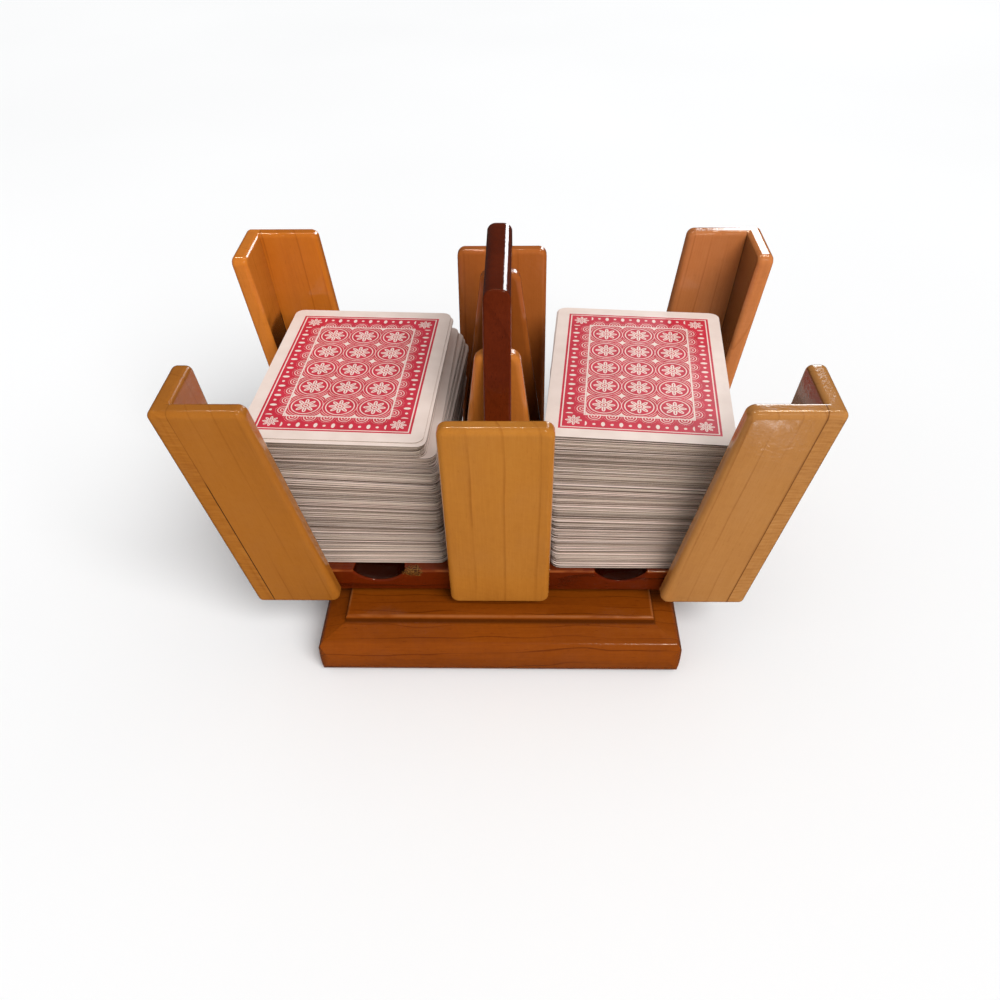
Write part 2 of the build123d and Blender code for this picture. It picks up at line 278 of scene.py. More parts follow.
NEXT_BOARD_ALONG, NEXT_BOARD_ACROSS = 211.0, 3.7   # how far each seed moves the figure
NEXT_YEAR_FADING, NEXT_YEAR_BAND = 5.3, 7.7        # how far each year moves its noise
RIPPLE_SHARE, MOTTLE_SHARE = 0.35, 0.4
LINE_SHOWS, PORE_SHOWS = (0.30, 0.62), (0.66, 0.76)   # noise under the first value shows none


# %% Wood figure group
def make_wood_figure():
    labels = ("Across", "Through", "Along", "Line spacing", "Waviness", "Seed")
    effects = ("Line", "Band", "Fibre", "Pore", "Cloud", "Curl")
    tree, entry, end = empty_group("wood_figure", labels, effects)
    across, through = entry["Across"], entry["Through"]
    along = entry["Along"] + entry["Seed"] * NEXT_BOARD_ALONG
    place = (across, through, along)
    bend = noise(tree, place, BEND_SIZE) - 0.5
    ripple = noise(tree, place, RIPPLE_SIZE, detail=1.0) - 0.5
    sway = (bend + ripple * RIPPLE_SHARE) * entry["Waviness"]
    shift = sway + entry["Seed"] * NEXT_BOARD_ACROSS
    ring = (across + through * RING_SLANT + shift) / entry["Line spacing"]
    year, growth = ring.math("FLOOR"), ring.math("FRACT")
    late_growth = (growth.rise(LINE_STARTS, LINE_FULL)
                   * growth.rise(LINE_FULL, 1.0, 1.0, LINE_END))
    fading = noise(tree, (year * NEXT_YEAR_FADING, through, along), FADING_SIZE, detail=1.0)
    line = late_growth * fading.rise(*LINE_SHOWS)
    band_place = (year * NEXT_YEAR_BAND + 3.1, through, along)
    band = noise(tree, band_place, BAND_SIZE, detail=0.0)
    mottle = noise(tree, place, MOTTLE_SIZE, detail=3.0)
    strands = noise(tree, place, FIBRE_SIZE, detail=3.0)
    fibre = strands * (1.0 - MOTTLE_SHARE) + mottle * MOTTLE_SHARE
    pore = noise(tree, place, PORE_SIZE, detail=1.0).rise(*PORE_SHOWS)
    cloud = noise(tree, place, CLOUD_SIZE, detail=3.0)
    ripples_along = (along + across * CURL_SLANT) / CURL_PITCH + bend * CURL_BEND
    curl = noise(tree, (across, through, ripples_along), CURL_SIZE, detail=1.0)
    for label, value in zip(effects, (line, band, fibre, pore, cloud, curl)):
        plug(tree, end.inputs[label], value)
    return tree


wood_figure = make_wood_figure()
print("wood_figure has", len(wood_figure.nodes), "nodes")

# %% [markdown]
# ## Lacquer
#
# Thick gloss lacquer was brushed on every piece. It isn't quite flat: slow swells break up the
# small reflections of lamps, and dust nibs and rubbed spots change the gloss a little. A second
# group makes both, as a height for the bump and a change of roughness.

# %% Lacquer group
SWELL_SIZE, PEEL_SIZE, RUBBED_SIZE = 4.5, 1.1, 13.0   # in mm
SWELL_HEIGHT, PEEL_HEIGHT, FIBRE_HEIGHT = 0.8, 0.45, 0.05
LACQUER_DEPTH = 0.00012   # a height of 1
RUBBED_SHOWS, RUBBED_ROUGHNESS = (0.4, 0.75), 0.08
COAT_WEIGHT, COAT_ROUGHNESS = 0.25, 0.06


def make_lacquer():
    tree, entry, end = empty_group("lacquer", ("X", "Y", "Z"), ("Height", "Rubbed"))
    place = (entry["X"], entry["Y"], entry["Z"])
    swell = noise(tree, place, even(SWELL_SIZE), detail=1.0)
    peel = noise(tree, place, even(PEEL_SIZE), detail=1.0)
    rubbed = noise(tree, place, even(RUBBED_SIZE), detail=4.0)
    plug(tree, end.inputs["Height"], swell * SWELL_HEIGHT + peel * PEEL_HEIGHT)
    plug(tree, end.inputs["Rubbed"], rubbed.rise(*RUBBED_SHOWS))
    return tree


lacquer = make_lacquer()
print("lacquer has", len(lacquer.nodes), "nodes")

# %% [markdown]
# ## One function for every wooden finish
#
# The figure's effects are numbers. They add up to one tone, and a ramp turns the tone into a
# colour between the dark of a growth line and the palest wood. A finish says how strong each
# effect is, how far apart and how wavy the growth lines are, and how rough the lacquer is.

# %% Lacquered wood
MIDDLE_TONE = 0.62   # the place on the ramp of wood that has no figure


def wood_material(name, stops, grain, seed, finish, marks=None, curly=None):
    """A lacquered wood. stops are the ramp's colours from dark to pale; grain turns the x, y and z
    fields into across, through and along; marks adds colour of its own, some of it painted shade
    and highlight; curly says where the curl shows."""
    material, tree, shader = new_material(name)
    x, y, z = place = object_place(tree)
    across, through, along = grain(x, y, z)
    figure = use_group(tree, wood_figure, Across=across, Through=through, Along=along,
                       Line_spacing=finish["spacing"], Waviness=finish["waviness"], Seed=seed)
    surface = use_group(tree, lacquer, X=x, Y=y, Z=z)
    tone = ((figure["Cloud"] - 0.5) * finish["cloud"]
            + (figure["Fibre"] - 0.5) * finish["fibre"] + MIDDLE_TONE)
    curl = curly(x, y, z) * finish["curl"] if curly else finish["curl"]
    tone = tone + (figure["Band"] - 0.5) * finish["band"] + (figure["Curl"] - 0.5) * curl
    tone = tone - figure["Line"] * finish["line"] - figure["Pore"] * finish["pore"]
    colour = ramp(tree, tone, *stops)
    if marks:
        colour = marks(tree, place, colour)
    plug(tree, shader.inputs["Base Color"], colour)
    roughness = surface["Rubbed"] * RUBBED_ROUGHNESS + finish["roughness"]
    plug(tree, shader.inputs["Roughness"], roughness)
    bump = add_node(tree, "ShaderNodeBump", Strength=1.0, Distance=LACQUER_DEPTH,
                    Height=surface["Height"] + figure["Fibre"] * FIBRE_HEIGHT)
    plug(tree, shader.inputs["Normal"], bump.outputs["Normal"])
    shader.inputs["Coat Weight"].default_value = COAT_WEIGHT
    shader.inputs["Coat Roughness"].default_value = COAT_ROUGHNESS
    return material


def tinted(stops, tint):
    """A ramp's stops with their colours multiplied by a tint."""
    return tuple((place, tuple(part * share for part, share in zip(colour, tint)))
                 for place, colour in stops)


def give(node, material):
    """Puts a material in every slot of a construction node."""
    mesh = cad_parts[node].data
    if not mesh.materials:
        mesh.materials.append(material)
    for slot in range(len(mesh.materials)):
        mesh.materials[slot] = material


# %% [markdown]
# ## Pale plates
#
# Posts, middle plates and ribs are sawn from a pale, even hardwood that the lacquer turned amber.
# The grain runs along each plate, and the plates lean, so the coordinates are sheared by the same
# lean before the figure is made. Every plate gets its own seed, because no two boards are alike.
# The side plates' edges, beside the glue line, are turned to the front and show fine ripples
# across the grain.

# %% Amber tones
AMBER = (
    (0.0, (0.060, 0.013, 0.002)),
    (0.35, (0.29, 0.092, 0.013)),
    (0.62, (0.46, 0.172, 0.028)),
    (1.0, (0.62, 0.270, 0.055)),
)
TONE_AND_PAINTED_LIGHT_TINTS = {  # each board's colour against the shared amber: partly its own tone, partly painted light and shade for how light falls on it
    "front_left": (0.80, 0.72, 0.52), "front_right": (0.98, 1.12, 1.80),
    "rear_left": (1.14, 0.84, 0.48), "rear_right": (1.06, 0.94, 1.70),
    "front_middle": (0.99, 0.98, 0.80), "rear_middle": (0.88, 0.64, 0.72),
    "rear_left_side": (1.33, 1.08, 0.80), "rear_right_side": (1.20, 1.07, 1.85),
    "front_rib": (1.10, 0.92, 0.88), "rear_rib": (0.82, 0.57, 0.55),
}
MIDDLE_FINISH = {"spacing": 11.0, "waviness": 3.0, "roughness": 0.14, "line": 0.15, "band": 0.12,
                 "fibre": 0.20, "pore": 0.08, "cloud": 0.18, "curl": 0.04}
FACE_FINISH = {**MIDDLE_FINISH, "spacing": 7.0, "waviness": 2.2}
SIDE_FINISH = {**FACE_FINISH, "line": 0.12, "band": 0.10, "cloud": 0.16, "curl": 0.42}

# %% Grain and marks of the leaning plates
SIDE_LEAN = math.tan(math.radians(8.2))
END_LEAN = math.tan(math.radians(9.15))
BOARD_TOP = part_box("left_deck_1")[0].z / MM
GLUE_LINE = 85.3   # half the board's length at its top, where a post's two plates meet
WALL = 46.5        # half the board's depth at its top, where the front and rear walls stand
HAIRLINE_FULL, HAIRLINE_GONE = 0.06, 0.30   # mm from the glue line
GLUE_SIZE, GLUE_SHOWS = (30.0, 9.0, 30.0), (0.30, 0.62)
GLUE_OPENS = (75.0, 95.0, 0.30, -0.30)      # from open under one height to tight over another
LEFT_GLUE = (0.22, (0.045, 0.010, 0.002))   # how much shows where it is faint, and its colour
RIGHT_GLUE = (0.95, (0.160, 0.052, 0.012))
CURL_SHOWS = (3.0, 5.0, 0.18, 1.0)   # from faint at one depth to full at another


def leaning_grain(side, end, faces_x):
    """Grain along a plate that leans out by side in X and end in Y, each -1, 0 or 1."""
    def grain(x, y, z):
        level = x - z * (side * SIDE_LEAN)
        depth = y - z * (end * END_LEAN)
        return (depth, level, z) if faces_x else (level, depth, z)
    return grain


def glue_line_marks(side):
    """A dark hairline where two plates meet: even on the right, open at the foot on the left."""
    faint, shade = LEFT_GLUE if side < 0 else RIGHT_GLUE

    def marks(tree, place, colour):
        x, y, z = place
        off_line = (x * side - (z - BOARD_TOP) * SIDE_LEAN - GLUE_LINE).size()
        depth = noise(tree, (y, z, z), GLUE_SIZE) + z.rise(*GLUE_OPENS)
        hairline = (off_line.rise(HAIRLINE_FULL, HAIRLINE_GONE).flip()
                    * depth.rise(*GLUE_SHOWS, faint, 1.0))
        return blend_colours(tree, hairline, colour, shade)
    return marks


def on_outer_edge(end):
    """1 on the outer third of a side plate's depth, where it stands beside the face plate."""
    def curly(x, y, z):
        return (y * end - (z - BOARD_TOP) * END_LEAN - WALL).rise(*CURL_SHOWS)
    return curly


# %% Finish the pale plates
seed = 1.0
for end_name, end in (("front", -1), ("rear", 1)):
    for side_name, side in (("left", -1), ("right", 1)):
        for plate, finish in (("face", FACE_FINISH), ("side", SIDE_FINISH)):
            post = f"{end_name}_{side_name}"
            node = f"{post}_{plate}_plate"
            # a board's tint is partly its own tone, partly painted light and shade
            amber = tinted(AMBER, TONE_AND_PAINTED_LIGHT_TINTS.get(f"{post}_{plate}", TONE_AND_PAINTED_LIGHT_TINTS.get(post)))
            grain = leaning_grain(side, end, plate == "side")
            give(node, wood_material(node, amber, grain, seed, finish,
                                     glue_line_marks(side), on_outer_edge(end)))
            seed += 1.0
    for piece, lean in ((f"{end_name}_middle_plate", end), (f"{end_name}_rib", 0)):
        amber = tinted(AMBER, TONE_AND_PAINTED_LIGHT_TINTS[piece.removesuffix("_plate")])
        grain = leaning_grain(0, lean, False)
        give(piece, wood_material(piece, amber, grain, seed, MIDDLE_FINISH))
        seed += 1.0
print("pale plates finished:", int(seed) - 1)

# %% [markdown]
# ## Dark wood
#
# The board and the handle panel are a dark red hardwood with fine pores. The board's grain runs
# along the tray, the panel's stands upright. Beside one finger scoop the lacquer has been worn
# through to a rough golden patch. The scoops' insides carry painted shade, and the board's upper
# edge a painted highlight.

# %% Dark tones
MAHOGANY = (
    (0.0, (0.017, 0.0018, 0.0003)),
    (0.4, (0.075, 0.0070, 0.0006)),
    (0.7, (0.135, 0.0145, 0.0012)),
    (1.0, (0.190, 0.0260, 0.0024)),
)
HANDLE_TONES = tinted(MAHOGANY, (0.82, 1.00, 2.20))
BOARD_FINISH = {"spacing": 9.0, "waviness": 6.0, "roughness": 0.14, "line": 0.25, "band": 0.16,
                "fibre": 0.30, "pore": 0.30, "cloud": 0.40, "curl": 0.06}
HANDLE_FINISH = {"spacing": 10.0, "waviness": 5.0, "roughness": 0.10, "line": 0.08, "band": 0.12,
                 "fibre": 0.40, "pore": 0.30, "cloud": 0.50, "curl": 0.10}
# painted shade: the colour the scoops' insides are drawn with, standing in for the shade the cards
# cast
SCOOP_PAINTED_SHADE = (0.003, 0.0003, 0.0001)
# painted highlight: the colour of a lighter band along the board's top arris
ARRIS_PAINTED_HIGHLIGHT = (0.34, 0.085, 0.018)
BARE_DARK, BARE_PALE = (0.045, 0.014, 0.003), (0.20, 0.085, 0.018)

# %% The board's marks, in mm
SCOOP_PLACE = 44.5                          # right and left of the middle
SCOOP_INNER, SCOOP_OUTER = 13.0, 14.5       # half its width, with a soft edge
SCOOP_REACH = WALL - BOARD_TOP * END_LEAN   # the board's face, less its lean
WORN_PLACE = (-32.0, -46.9, 32.3)
WORN_SIZE = (5.5, 5.0, 3.2)
WORN_EDGE, WORN_RAGGED = (1.25, 1.65), 1.9   # by share of the patch's size
RAGGED_SIZE, SPECKLE_SIZE, HIGHLIGHT_PATCH_SIZE = (1.2, 1.2, 0.9), (0.5, 0.5, 0.4), (9.0, 3.0, 3.0)
RIM_BELOW, RIM_EDGE = 0.45, (0.15, 0.55)


def sum_of_squares(fields):
    total, *rest = (field.math("POWER", 2.0) for field in fields)
    for square in rest:
        total = total + square
    return total


def board_wear_and_painted_light(tree, place, colour):
    """Painted shade in the scoops, a painted highlight along the upper edge, a scuffed golden
    patch.
    """
    x, y, z = place
    # painted shade: the scoops' insides below the board's top are drawn nearly black
    inside = (y.size() - z * END_LEAN).rise(SCOOP_REACH - 0.9, SCOOP_REACH - 0.3).flip()
    across = (x.size() - SCOOP_PLACE).size().rise(SCOOP_INNER, SCOOP_OUTER).flip()
    scoop_painted_shade = inside * across * z.rise(BOARD_TOP - 0.4, BOARD_TOP - 0.1).flip()
    colour = blend_colours(tree, scoop_painted_shade * 0.88, colour, SCOOP_PAINTED_SHADE)
    # painted highlight: a patchy lighter band just under the board's top arris, where it would
    # catch light
    highlight_patches = noise(tree, place, HIGHLIGHT_PATCH_SIZE).rise(0.30, 0.60, 0.25, 0.8)
    arris_highlight = (z - BOARD_TOP + RIM_BELOW).size().rise(*RIM_EDGE).flip() * highlight_patches
    colour = blend_colours(tree, arris_highlight * (inside * across).flip(), colour, ARRIS_PAINTED_HIGHLIGHT)
    offset = [part - centre for part, centre in zip(place, WORN_PLACE)]
    reach = sum_of_squares(part / size for part, size in zip(offset, WORN_SIZE))
    ragged = noise(tree, offset, RAGGED_SIZE, detail=4.0)
    mask = (reach + ragged * WORN_RAGGED).rise(*WORN_EDGE).flip()
    speckle = noise(tree, offset, SPECKLE_SIZE).rise(0.42, 0.6)
    bare = blend_colours(tree, speckle, BARE_DARK, BARE_PALE)
    return blend_colours(tree, mask, colour, bare)


def grain_along_x(x, y, z):
    return y, z, x


def grain_upright(x, y, z):
    return y, x, z


BOARD_SEED, HANDLE_SEED, BASE_SEED = 31.0, 32.0, 41.0
give("tray_board", wood_material("tray_board", MAHOGANY, grain_along_x, BOARD_SEED,
                                 BOARD_FINISH, board_wear_and_painted_light))
give("handle_panel", wood_material("handle_panel", HANDLE_TONES, grain_upright, HANDLE_SEED,
                                   HANDLE_FINISH))
print("board and handle finished")

# %% [markdown]
# ## Base wood
#
# The base is a reddish brown hardwood with bold, slightly wavy growth lines that run from left to
# right across its front and climb over the bevel. Its raised field has a painted shadow at the
# foot of its step and a painted highlight along its edge.

# %% Base wood
CHERRY = (
    (0.0, (0.042, 0.0062, 0.0006)),
    (0.35, (0.136, 0.0255, 0.0012)),
    (0.65, (0.240, 0.0510, 0.0028)),
    (1.0, (0.320, 0.0860, 0.0070)),
)
BASE_FINISH = {"spacing": 4.6, "waviness": 11.0, "roughness": 0.14, "line": 0.30, "band": 0.14,
               "fibre": 0.30, "pore": 0.20, "cloud": 0.28, "curl": 0.06}
# painted shadow for the foot of the field's step, painted highlight for its edge
STEP_PAINTED_SHADOW, EDGE_PAINTED_HIGHLIGHT = (0.030, 0.0060, 0.0006), (0.42, 0.145, 0.040)
FIELD_EDGE, FIELD_TOP = 56.75, 20.0   # half the raised field's width, and its height, in mm
FIELD_HIGHLIGHT_PATCH_SIZE = (9.0, 9.0, 3.0)


def field_painted_shade_and_highlight(tree, place, colour):
    """Painted shadow at the foot of the raised field's step, and a patchy painted highlight along
    its edge.
    """
    x, y, z = place
    out = x.size().math("MAXIMUM", y.size()) - FIELD_EDGE
    below = (z - FIELD_TOP) * -1.0
    # painted shadow: a dark line at the foot of the step; painted highlight: a lighter line along
    # its edge
    step_painted_shadow = out.rise(-0.3, 0.0) * out.rise(0.1, 1.3).flip() * below.rise(0.9, 1.5)
    edge_painted_highlight = (out + 0.5).size().rise(0.2, 0.7).flip() * below.rise(0.5, 0.9).flip()
    highlight_patches = noise(tree, place, FIELD_HIGHLIGHT_PATCH_SIZE).rise(0.30, 0.60, 0.08, 0.42)
    colour = blend_colours(tree, step_painted_shadow * 0.65, colour, STEP_PAINTED_SHADOW)
    return blend_colours(tree, edge_painted_highlight * highlight_patches, colour, EDGE_PAINTED_HIGHLIGHT)


give("base_board", wood_material("base_board", CHERRY, grain_along_x, BASE_SEED,
                                 BASE_FINISH, field_painted_shade_and_highlight))
print("base finished")

# %% [markdown]
# ## Fittings
#
# The bearing, its balls, the screws and the felt pads are hidden in use, but they show when the
# tray is looked at from below or taken apart. Each gets the finish such parts have: zinc-plated
# steel, polished balls, brass screws and pressed felt.

# %% Metal and felt
BLOTCH_SIZE, FUZZ_SIZE = 2.5, 0.4   # in mm
FELT_TONES = ((0.3, (0.018, 0.02, 0.018)), (0.7, (0.06, 0.065, 0.06)))
FELT_DEPTH = 0.0003


def metal_material(name, colour, roughness, mottling):
    """Metal whose gloss changes in small blotches."""
    material, tree, shader = new_material(name)
    blotch = noise(tree, object_place(tree), even(BLOTCH_SIZE), detail=4.0)
    dull = tuple(part * (1.0 - mottling) for part in colour)
    plug(tree, shader.inputs["Base Color"], blend_colours(tree, blotch, dull, colour))
    plug(tree, shader.inputs["Roughness"], blotch * mottling + roughness)
    shader.inputs["Metallic"].default_value = 1.0
    return material


def felt_material():
    """Matted dark fibres."""
    material, tree, shader = new_material("pressed_felt")
    fuzz = noise(tree, object_place(tree), even(FUZZ_SIZE), detail=5.0)
    plug(tree, shader.inputs["Base Color"], ramp(tree, fuzz, *FELT_TONES))
    bump = add_node(tree, "ShaderNodeBump", Strength=1.0, Distance=FELT_DEPTH, Height=fuzz)
    plug(tree, shader.inputs["Normal"], bump.outputs["Normal"])
    shader.inputs["Roughness"].default_value = 0.95
    return material


zinc = metal_material("zinc_plate", (0.62, 0.61, 0.57), 0.28, 0.25)
polished = metal_material("polished_steel", (0.78, 0.78, 0.79), 0.08, 0.08)
brass = metal_material("brass", (0.72, 0.52, 0.22), 0.22, 0.20)
for nodes, material in (
    (("bearing_lower_plate", "bearing_upper_plate"), zinc),
    (("bearing_balls",), polished),
    (("base_screws", "tray_screws", "panel_screws"), brass),
    (("felt_pads",), felt_material()),
):
    for node in nodes:
        give(node, material)
    print(material.name, "on", ", ".join(nodes))

# %% [markdown]
# ## The printed card back
#
# The back is a pattern of our own: a field of eight-petalled rosettes in rings, with small stars
# between them, inside a border of fans. It is two-coloured line work, so the whole print is one
# mask that says where there is red ink. It reads the card's own map, in millimetres from the
# card's middle, so it turns and moves with every card.

# %% Card sizes
CARD_WIDTH, CARD_LENGTH, CARD_CORNER = 63.0 * MM, 88.0 * MM, 3.4 * MM
CARD_THICKNESS = 0.24 * MM
UV_PER_METRE = 10.0
PRINT_HALF_WIDTH, PRINT_HALF_LENGTH = 27.0, 39.1   # in mm, as are all sizes of the print
BORDER_BAND = 8.85   # from the print's edge to the field of rosettes
CELL = 12.1          # the square round one rosette
FAN_PITCH = CELL / 2
HALF_PETALS = 4.0    # a rosette has two petals for each
ROSETTE_REACH, ROSETTE_RING = 4.2, (4.75, 5.15)
STAR_CURVE, STAR_REACH, STAR_CLEAR = 0.6, 1.60, 2.2   # under 1, the curve pulls the sides in
ECHO_RINGS, ECHO_SHARE, ECHO_STARTS = 1.35, 0.24, 5.5   # rings a mm, how much of it is cream
FAN_DEPTH, FAN_RINGS, FAN_SHARE, FAN_REACH = 7.9, 1.05, 0.30, 2.9
LEAF_DEPTH, LEAF_SLIM, LEAF_REACH = 3.4, 1.9, 1.25
BEAD_DEPTH, BEAD_REACH = 3.2, 0.55
CORNER_DEPTH, CORNER_REACH, CORNER_CLEAR = 5.0, 3.0, 3.7
BORDER_STARTS = 1.9
FRAMES = ((0.75, 1.2), (8.25, 8.75))   # two thin cream lines round the print


# %% Shapes of the print
def ring(distance, low, high):
    """1 where a distance lies between low and high."""
    return distance.over(low) * distance.under(high)


def cell(value, pitch):
    """A coordinate from the middle of its own cell, when cells of that pitch meet at zero."""
    return (value / pitch).math("FRACT") * pitch - pitch / 2


def radius(a, b):
    return (a * a + b * b).math("SQRT")


def rosette(a, b, reach):
    """Cream petals with a red vein and a ringed centre."""
    r = radius(a, b)
    petal = (b.math("ARCTAN2", a) * HALF_PETALS).math("COSINE").size()
    shape = r.under(petal * (reach * 0.62) + reach * 0.33) * r.over(reach * 0.3)
    vein = petal.over(0.975) * r.under(reach * 0.8)
    centre = ring(r, reach * 0.10, reach * 0.22)
    return (shape - vein).math("MAXIMUM", 0.0).math("MAXIMUM", centre)


# %% The field of rosettes
def rosette_field(x, y):
    """Ringed rosettes, one of them in the middle, with stars and echoes of the rings between."""
    a, b = cell(x + CELL / 2, CELL), cell(y + CELL / 2, CELL)
    r = radius(a, b)
    cream = rosette(a, b, ROSETTE_REACH).math("MAXIMUM", ring(r, *ROSETTE_RING))
    corner_a, corner_b = cell(x, CELL), cell(y, CELL)
    from_star = (corner_a.size().math("POWER", STAR_CURVE)
                 + corner_b.size().math("POWER", STAR_CURVE))
    echo = (r * ECHO_RINGS).math("FRACT").under(ECHO_SHARE) * r.over(ECHO_STARTS)
    cream = cream.math("MAXIMUM", from_star.under(STAR_REACH))
    return cream.math("MAXIMUM", echo * from_star.over(STAR_CLEAR))


# %% The border of fans
def fan_border(x, y, from_side, from_end, depth):
    """Fans, leaves and beads along whichever side is nearer, and a rosette in each corner."""
    beside = from_side.under(from_end)
    run = y * beside + x * beside.flip()
    fan_a = cell(run, FAN_PITCH)
    fan_r = radius(fan_a, depth - FAN_DEPTH)
    fan = (fan_r * FAN_RINGS).math("FRACT").under(FAN_SHARE) * fan_r.under(FAN_REACH)
    leaf_a = cell(run + FAN_PITCH / 2, FAN_PITCH)
    leaf = radius(leaf_a * LEAF_SLIM, depth - LEAF_DEPTH).under(LEAF_REACH)
    bead = radius(fan_a, depth - BEAD_DEPTH).under(BEAD_REACH)
    border = fan.math("MAXIMUM", leaf).math("MAXIMUM", bead)
    a, b = from_side - CORNER_DEPTH, from_end - CORNER_DEPTH
    corner = rosette(a, b, CORNER_REACH) * radius(a, b).under(CORNER_CLEAR)
    in_corner = from_side.under(BORDER_BAND) * from_end.under(BORDER_BAND)
    return border * in_corner.flip() + corner * in_corner


# %% Card back ink
def make_card_back_ink():
    """A group that turns a place on the card, in mm, into ink: 1 is red, 0 is bare card."""
    tree, entry, end = empty_group("card_back_ink", ("X", "Y"), ("Ink",))
    x, y = entry["X"], entry["Y"]
    from_side = x.size() * -1.0 + PRINT_HALF_WIDTH
    from_end = y.size() * -1.0 + PRINT_HALF_LENGTH
    depth = from_side.math("MINIMUM", from_end)
    in_field = depth.over(BORDER_BAND)
    border = fan_border(x, y, from_side, from_end, depth) * depth.over(BORDER_STARTS)
    cream = rosette_field(x, y) * in_field + border * in_field.flip()
    for low, high in FRAMES:
        cream = cream.math("MAXIMUM", ring(depth, low, high))
    printed = depth.over(0.0)
    plug(tree, end.inputs["Ink"], printed * cream.flip())
    return tree


card_back_ink = make_card_back_ink()
print("card_back_ink has", len(card_back_ink.nodes), "nodes")

# %% Card materials
PAPER = ((0.2, (0.82, 0.66, 0.58)), (0.8, (0.91, 0.76, 0.68)))
RED_INK = ((0.2, (0.52, 0.010, 0.030)), (0.8, (0.72, 0.022, 0.062)))
EDGE_TONES = ((0.0, (0.042, 0.027, 0.018)), (0.5, (0.205, 0.147, 0.105)),
              (1.0, (0.68, 0.565, 0.45)))
PATCH_SIZE, DIMPLE_SIZE, SMEAR_SIZE = 7.0, 0.55, (24.0, 24.0, 0.5)   # in mm
DIMPLE_DEPTH = 0.00003


def card_back_material():
    """Coated card, printed red; the ink is a little uneven and the coating slightly dimpled."""
    material, tree, shader = new_material("card_back")
    card_map = tree.nodes.new("ShaderNodeUVMap")
    card_map.uv_map = "card"
    parts = add_node(tree, "ShaderNodeSeparateXYZ", Vector=card_map.outputs["UV"])
    x, y = (Field(tree, parts.outputs[axis]) * (1.0 / (UV_PER_METRE * MM)) for axis in "XY")
    ink = use_group(tree, card_back_ink, X=x, Y=y)["Ink"]
    patch = noise(tree, (x, y, 0.0), even(PATCH_SIZE), detail=3.0)
    paper, red = ramp(tree, patch, *PAPER), ramp(tree, patch, *RED_INK)
    plug(tree, shader.inputs["Base Color"], blend_colours(tree, ink, paper, red))
    dimple = noise(tree, (x, y, 0.0), even(DIMPLE_SIZE), detail=0.0)
    bump = add_node(tree, "ShaderNodeBump", Strength=0.5, Distance=DIMPLE_DEPTH, Height=dimple)
    plug(tree, shader.inputs["Normal"], bump.outputs["Normal"])
    plug(tree, shader.inputs["Roughness"], patch * 0.12 + 0.34)
    return material


def card_edge_material():
    """The cut edge of a card: bare paper, greyed by handling, each card differently."""
    material, tree, shader = new_material("card_edge")
    attribute = tree.nodes.new("ShaderNodeAttribute")
    attribute.attribute_name = "wear"
    wear = Field(tree, attribute.outputs["Fac"])
    smear = noise(tree, object_place(tree), SMEAR_SIZE, detail=3.0)
    tone = wear * 0.75 + smear * 0.35 - 0.05
    plug(tree, shader.inputs["Base Color"], ramp(tree, tone, *EDGE_TONES))
    shader.inputs["Roughness"].default_value = 0.75
    return material


card_back, card_edge = card_back_material(), card_edge_material()

# %% [markdown]
# ## One card
#
# A card is modelled once: a plane at card size, its corners rounded by a vertex bevel, and the
# face extruded down by the card's thickness. Copies of it make the piles. Its map is written
# straight from its corners' places, so that the print is always at true size.

# %% Model a card
CORNER_SEGMENTS = 4
BACK_SLOT, EDGE_SLOT = 0, 1


def deselect_all():
    if bpy.context.mode != "OBJECT":
        bpy.ops.object.mode_set(mode="OBJECT")
    bpy.ops.object.select_all(action="DESELECT")


def model_card():
    deselect_all()
    bpy.ops.mesh.primitive_plane_add(size=1.0, location=(0.0, 0.0, 0.0))
    card = bpy.context.object
    card.name = "card"
    card.scale = (CARD_WIDTH, CARD_LENGTH, 1.0)
    bpy.ops.object.transform_apply(location=False, rotation=False, scale=True)
    bpy.ops.object.mode_set(mode="EDIT")
    bpy.ops.mesh.select_all(action="SELECT")
    bpy.ops.mesh.bevel(offset=CARD_CORNER, segments=CORNER_SEGMENTS, affect="VERTICES")
    bpy.ops.mesh.extrude_region_move(
        TRANSFORM_OT_translate={"value": (0.0, 0.0, -CARD_THICKNESS)})
    bpy.ops.mesh.select_all(action="SELECT")
    bpy.ops.mesh.normals_make_consistent(inside=False)
    bpy.ops.object.mode_set(mode="OBJECT")
    return card


def map_card(card):
    """Gives a card its two materials, an attribute for the wear of its edge, and its map."""
    mesh = card.data
    mesh.materials.append(card_back)
    mesh.materials.append(card_edge)
    mesh.attributes.new("wear", "FLOAT", "FACE")
    while mesh.uv_layers:
        mesh.uv_layers.remove(mesh.uv_layers[0])
    card_map = mesh.uv_layers.new(name="card")
    for polygon in mesh.polygons:
        polygon.material_index = BACK_SLOT if abs(polygon.normal.z) > 0.5 else EDGE_SLOT
        for corner in polygon.loop_indices:
            place = mesh.vertices[mesh.loops[corner].vertex_index].co
            card_map.data[corner].uv = (place.x * UV_PER_METRE, place.y * UV_PER_METRE)


card_pattern = model_card()
map_card(card_pattern)
print("one card has", len(card_pattern.data.polygons), "faces")

# %% [markdown]
# ## Two piles
#
# Two hundred cards stacked by hand are never square. Each pile leans a little from its foot to its
# head, small packs of cards have slipped together, and each card is out by a fraction of a
# millimetre. A seeded random generator gives the same pile every time. Every deck of 52 becomes
# one piece, and the card on top of each pile is a piece of its own.

